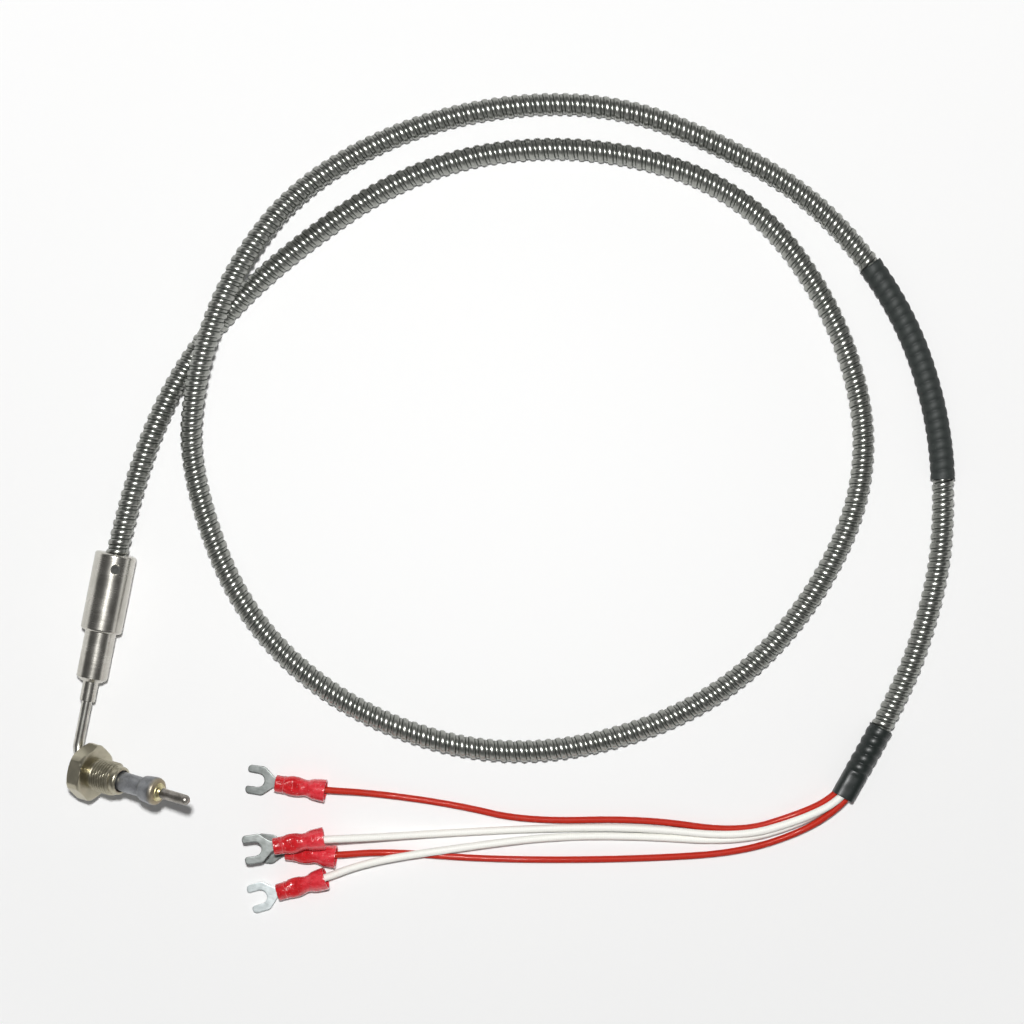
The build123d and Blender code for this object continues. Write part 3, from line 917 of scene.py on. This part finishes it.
# The nut: rings along its own surface, thread roots and bores painted darker as shade, a warm film in
# patches.
def paintNut(w):
    rings = w.noise(w.stretch(w.laid(), (9000, 14, 1)), 1.0, 2.0)
    film = w.noise(w.place(), 210, 3.0, 0.6)
    tone = (film * 0.75 + rings * 0.25).ramp(0.28, 0.75)
    rootShade = w.mark("rootShade")
    base = w.tint(tone, legSet["nutDark"], legSet["nutLight"])
    return {
        "Base Color": w.tint(rootShade * 0.5, base, legSet["nutRootShade"]),
        "Roughness": legSet["nutRough"] + film * 0.12 + rootShade * 0.1,
        "Normal": w.bump(rings + film * 0.5, 0.00003, 0.5),
    }


nutSteel = material("nutSteel", {"Metallic": 1.0}, paintNut)


# Torch heated steel: blue grey, straw coloured towards the braze, mottled.
def paintCollar(w):
    along = w.part(w.laid(), 0)
    mottle = w.noise(w.place(), 420, 4.0, 0.62)
    rings = w.noise(w.stretch(w.laid(), (7000, 10, 1)), 1.0, 2.0)
    tone = (mottle * 0.8 + rings * 0.2).ramp(0.3, 0.7)
    base = w.tint(tone, legSet["collarDark"], legSet["collarLight"])
    warm = along.ramp(legSet["strawFrom"], legSet["strawTo"]) * (0.45 + mottle * 0.6)
    return {
        "Base Color": w.tint(warm, base, legSet["straw"]),
        "Roughness": legSet["collarRough"] + mottle * 0.16,
        "Normal": w.bump(mottle + rings * 0.4, 0.00004, 0.6),
    }


collarSteel = material("collarSteel", {"Metallic": 1.0}, paintCollar)


# Brass braze: lumpy, paler on the lumps.
def paintBraze(w):
    lumps = w.noise(w.place(), 900, 3.0, 0.6)
    return {
        "Base Color": w.tint(lumps.ramp(0.3, 0.7), legSet["brazeDark"], legSet["brazeLight"]),
        "Roughness": legSet["brazeRough"] + lumps * 0.25,
        "Normal": w.bump(lumps, 0.00008, 0.7),
    }


brazeMetal = material("brazeMetal", {"Metallic": 1.0}, paintBraze)


sheathFinish = {
    "cool": (colour(0.46, 0.45, 0.41), colour(0.63, 0.62, 0.57)),
    "burnt": (colour(0.20, 0.185, 0.165), colour(0.40, 0.375, 0.34)),
    "burntFrom": 0.004,           # x between which the tube turns brown
    "burntTo": 0.015,
    "rough": 0.24,
}


# Drawn tube: bright on the straight towards the fitting, browned and dulled on the hot tip.
def paintSheath(w):
    here = w.place()
    x = w.part(here, 0)
    streak = w.noise(w.stretch(here, (2600, 60, 2600)), 1.0, 2.0)
    cloud = w.noise(here, 330, 4.0, 0.6)
    hot = x.ramp(sheathFinish["burntFrom"], sheathFinish["burntTo"])
    cool = w.tint(cloud.ramp(0.3, 0.7), *sheathFinish["cool"])
    burnt = w.tint(cloud.ramp(0.35, 0.65), *sheathFinish["burnt"])
    return {
        "Base Color": w.tint(hot, cool, burnt),
        "Roughness": sheathFinish["rough"] + streak * 0.08 + hot * 0.10,
        "Normal": w.bump(streak + cloud * 0.5, 0.00002, 0.5),
    }


sheathSteel = material("sheathSteel", {"Metallic": 1.0}, paintSheath)

hoseFinish = {
    "crest": colour(0.33, 0.335, 0.31),
    "grooveShade": colour(0.05, 0.06, 0.052),
    "rough": 0.27,
}


# Rolled strip: polished on the crests, dull in the grooves and painted near black there as shade,
# faint draw lines along it.
def paintHose(w):
    crest = w.mark("crest")
    here = w.place()
    dull = w.noise(here, 240, 3.0, 0.6)
    draw = w.noise(w.stretch(w.laid(), (3.0, 26.0, 1)), 1.0, 2.0)
    # Painted shade: near black in the grooves, plain steel on the crests, with a little random tone.
    crestVersusGrooveShade = (crest + (dull - 0.5) * 0.2).ramp(0.15, 0.90)
    return {
        "Base Color": w.tint(crestVersusGrooveShade, hoseFinish["grooveShade"], hoseFinish["crest"]),
        "Roughness": hoseFinish["rough"] + (1 - crestVersusGrooveShade) * 0.25 + dull * 0.10,
        "Normal": w.bump(draw, 0.00002, 0.4),
    }


hoseSteel = material("hoseSteel", {"Metallic": 1.0}, paintHose)


# Shrunk polyolefin: near black, fine pebbling, a touch greyer on the rib crests and darker in the
# grooves, painted sheen and shade.
def shrunk(name, rough, low, high):
    def paint(w):
        here = w.place()
        pebble = w.noise(here, 2600, 3.0, 0.6)
        cloud = w.noise(here, 260, 3.0, 0.6)
        dust = w.noise(here, 1500, 1.0).ramp(0.70, 0.76) * 0.25
        # Painted sheen and shade: greyer on the rib crests, darker in the grooves.
        base = w.tint(w.mark("ribSheenShade") * 0.6 + cloud * 0.3, low, high)
        return {
            "Base Color": w.tint(dust, base, colour(0.10, 0.11, 0.105)),
            "Roughness": rough + pebble * 0.12 + cloud * 0.08,
            "Normal": w.bump(pebble + cloud, 0.00003, 0.5),
        }
    return material(name, {"IOR": 1.5}, paint)


shrinkSatin = shrunk("shrinkSatin", 0.30, colour(0.005, 0.009, 0.008), colour(0.016, 0.021, 0.019))
shrinkDull = shrunk("shrinkDull", 0.50, colour(0.010, 0.014, 0.013), colour(0.028, 0.034, 0.031))


# Braid under varnish: two families of strands from the lay of the surface, darker where they dip
# between each other as painted shade, and beads of varnish.
def braid(name, dark, light, uniform, rough, beadScale, plaitShadeAndRelief, varnish):
    def paint(w):
        plait = w.mark("plait")
        fuzz = w.noise(w.place(), 2400, 3.0, 0.65)
        beads = w.noise(w.place(), beadScale, 2.0).ramp(0.56, 0.70)
        # Painted shade: darker where the plait dips between strands, lighter on their raised tops,
        # with random fuzz on top.
        tone = (plait * plaitShadeAndRelief + 0.5 + (fuzz - 0.5) * 0.7).ramp(0.05, 0.95)
        return {
            "Base Color": w.tint(tone, dark, light),
            "Roughness": rough + fuzz * 0.2,
            "Coat Weight": 0.05 + beads * varnish,
            "Normal": w.bump(fuzz * 0.4 + beads + plait * plaitShadeAndRelief, 0.00006, 0.6),
        }
    return material(name, uniform, paint)


redBraid = braid("redBraid", colour(0.38, 0.010, 0.004), colour(0.58, 0.028, 0.008),
                 {"Coat Roughness": 0.08, "Specular IOR Level": 0.22}, 0.45, 650, 0.2, 0.95)
whiteBraid = braid("whiteBraid", colour(0.80, 0.79, 0.73), colour(0.95, 0.945, 0.90),
                   {"Coat Roughness": 0.3}, 0.5, 1100, 0.12, 0.1)


sleeveFinish = {
    "deep": (colour(0.48, 0.006, 0.010), colour(0.66, 0.014, 0.020)),
    "thin": (colour(0.62, 0.018, 0.028), colour(0.78, 0.050, 0.068)),
    "glintPink": colour(0.92, 0.35, 0.36),
    "rough": 0.16,
    "lumpDepth": 0.00034,
}


# Moulded red: deeper where the metal barrel lies behind it, pinker at the thin funnel, with pale pink
# painted glints.
def paintRedSleeve(w):
    through = w.mark("through")
    here = w.place()
    lumps = w.noise(here, 620, 3.0, 0.6)
    # Painted glints: small pale pink spots mixed into the red.
    glintSpots = w.noise(here, 2100, 1.0).ramp(0.66, 0.74)
    deep = w.tint(lumps.ramp(0.3, 0.7), *sleeveFinish["deep"])
    thin = w.tint(lumps.ramp(0.3, 0.7), *sleeveFinish["thin"])
    return {
        "Base Color": w.tint(glintSpots * 0.35, w.tint(through, thin, deep), sleeveFinish["glintPink"]),
        "Roughness": sleeveFinish["rough"] + lumps * 0.16,
        "Normal": w.bump(lumps + glintSpots * 0.4, sleeveFinish["lumpDepth"], 0.8),
    }


glossyRed = {"Coat Weight": 0.8, "Coat Roughness": 0.06, "IOR": 1.5}
redPlastic = material("redPlastic", glossyRed, paintRedSleeve)


# Tin plate: cloudy grey with fine stamping scratches.
def tinPlate(name, dark, light, rough):
    def paint(w):
        here = w.place()
        cloud = w.noise(here, 520, 4.0, 0.6)
        scratch = w.noise(w.stretch(here, (420, 5200, 420), (0, 0, 0.5)), 1.0, 2.0)
        return {
            "Base Color": w.tint((cloud * 0.7 + scratch * 0.3).ramp(0.32, 0.68), dark, light),
            "Roughness": rough + cloud * 0.16,
            "Normal": w.bump(scratch * 0.4 + cloud, 0.00003, 0.5),
        }
    return material(name, {"Metallic": 1.0}, paint)


tinGrey = tinPlate("tinGrey", colour(0.21, 0.225, 0.215), colour(0.31, 0.33, 0.32), 0.34)
# Painted reflection of the lamp: a far paler copy of the same tin, for the one fork whose flat face
# catches the key lamp.
tinPaintedGlare = tinPlate("tinPaintedGlare", colour(0.62, 0.68, 0.68), colour(0.80, 0.86, 0.86), 0.40)


# Everything sealed inside, and the grub screw, gets a plain mottled finish of its own colour.
def hiddenFinish(name, dark, light, metallic):
    def paint(w):
        mottle = w.noise(w.place(), 900, 3.0)
        return {"Base Color": w.tint(mottle, dark, light), "Roughness": 0.45 + mottle * 0.2}
    return material(name, {"Metallic": metallic}, paint)


powderWhite = hiddenFinish("powderWhite", colour(0.70, 0.69, 0.65), colour(0.88, 0.87, 0.84), 0.0)
resinBrown = hiddenFinish("resinBrown", colour(0.03, 0.026, 0.022), colour(0.06, 0.052, 0.045), 0.0)
wireAlloy = hiddenFinish("wireAlloy", colour(0.36, 0.34, 0.31), colour(0.52, 0.50, 0.46), 1.0)
screwBlack = hiddenFinish("screwBlack", colour(0.03, 0.032, 0.03), colour(0.09, 0.09, 0.085), 1.0)


def dress(obj, finish):
    obj.data.materials.clear()
    obj.data.materials.append(finish)


for name, node in cadNodes.items():
    if name.startswith(("transition", "hose_socket")):
        dress(node, socketSteel)
    elif name == "mi_sheath":
        dress(node, sheathSteel)
    elif name == "grub_screw":
        dress(node, screwBlack)
    elif name == "mineral_insulation":
        dress(node, powderWhite)
    elif name == "potting":
        dress(node, resinBrown)
    elif name.startswith("splice"):
        dress(node, tinGrey)
    else:
        dress(node, wireAlloy)
dress(armourHose, hoseSteel)
dress(midSleeve, shrinkDull)
dress(endBoot, shrinkSatin)
dress(glandNut, nutSteel)
dress(seatCollar, collarSteel)
dress(brazeFillet, brazeMetal)
for title, lead in leadSet["leads"].items():
    dress(leads[title], redBraid if "red" in title else whiteBraid)
    dress(lead["sleeve"], redPlastic)
    # The whiteB fork gets the paler tin: painted lamp reflection.
    dress(lead["fork"], tinPaintedGlare if title == "whiteB" else tinGrey)
print("materials made,", len(bpy.data.materials))

studioSet = {
    "aim": (0.10, 0.07, 0.0),
    "floorSize": 5.0,
    "floorDrop": 0.00016,
    "paper": (colour(0.84, 0.84, 0.835), colour(0.80, 0.80, 0.80)),
    "nearLift": 0.03,             # glow of the sheet round the probe, where shadows fall
    "farLift": 0.92,              # and past its edge, where the lamps no longer reach
    "nearReach": 0.09,
    "farReach": 0.76,
    "ceiling": colour(0.10, 0.10, 0.10),
    "backdropTop": 0.16,          # sine of the height at which the white backdrop starts to end
    "backdropFade": 0.2,
    "lamps": {
        "key": {"place": (0.068, 0.155, 0.68), "size": 0.045, "power": 4.8},
        "fill": {"place": (0.28, -0.85, 0.40), "size": 0.8, "power": 0.55},
    },
}


# The sheet's glow, for the eye and reflections only, grows with distance from the probe.
def paintPaper(w):
    s = studioSet
    grain = w.noise(w.place(), 300, 3.0, 0.6)
    away = w.node("VectorMath", {"operation": "DISTANCE"}, {0: w.place(), 1: s["aim"]}, 1)
    lift = s["nearLift"] + away.ramp(s["nearReach"], s["farReach"]) * (s["farLift"] - s["nearLift"])
    return {
        "Base Color": w.tint(grain * 0.2, *s["paper"]),
        "Emission Color": w.tint(w.seen() * lift, colour(0, 0, 0), colour(1, 1, 1)),
    }


def makeFloor(s):
    run = np.linspace(-s["floorSize"] / 2, s["floorSize"] / 2, 9)
    x, y = np.meshgrid(run, run, indexing="ij")
    grid = np.stack([x, y, 0 * x - s["floorDrop"]], -1) + s["aim"]
    sheet = skin("floor", grid, closed=False, ends=False)
    sheet.parent = None
    dull = {"Roughness": 0.9, "Specular IOR Level": 0.1, "Emission Strength": 1.0}
    dress(sheet, material("paper", dull, paintPaper))


def makeLamp(name, aim, place, size, power):
    data = bpy.data.lights.new(name, "AREA")
    data.shape, data.size, data.energy = "DISK", size, power
    lamp = bpy.data.objects.new(name, data)
    lamp.location = place
    lamp.rotation_euler = (Vector(aim) - Vector(place)).to_track_quat("-Z", "Y").to_euler()
    scene.collection.objects.link(lamp)


# A dim room with a white backdrop near the ground, seen by the eye and in reflections.
def makeRoom(s):
    scene.world = bpy.data.worlds.new("room")
    scene.world.use_nodes = True
    tree = scene.world.node_tree
    w = Wire(tree)
    rise = w.part(w.node("TexCoord"), 2)
    low = 1 - rise.ramp(s["backdropTop"], s["backdropTop"] + s["backdropFade"])
    room = w.tint(w.seen() * low, s["ceiling"], colour(1, 1, 1))
    tree.links.new(room.socket, tree.nodes["Background"].inputs["Color"])


makeFloor(studioSet)
for name, lamp in studioSet["lamps"].items():
    makeLamp(name, studioSet["aim"], **lamp)
makeRoom(studioSet)
print("studio lit")
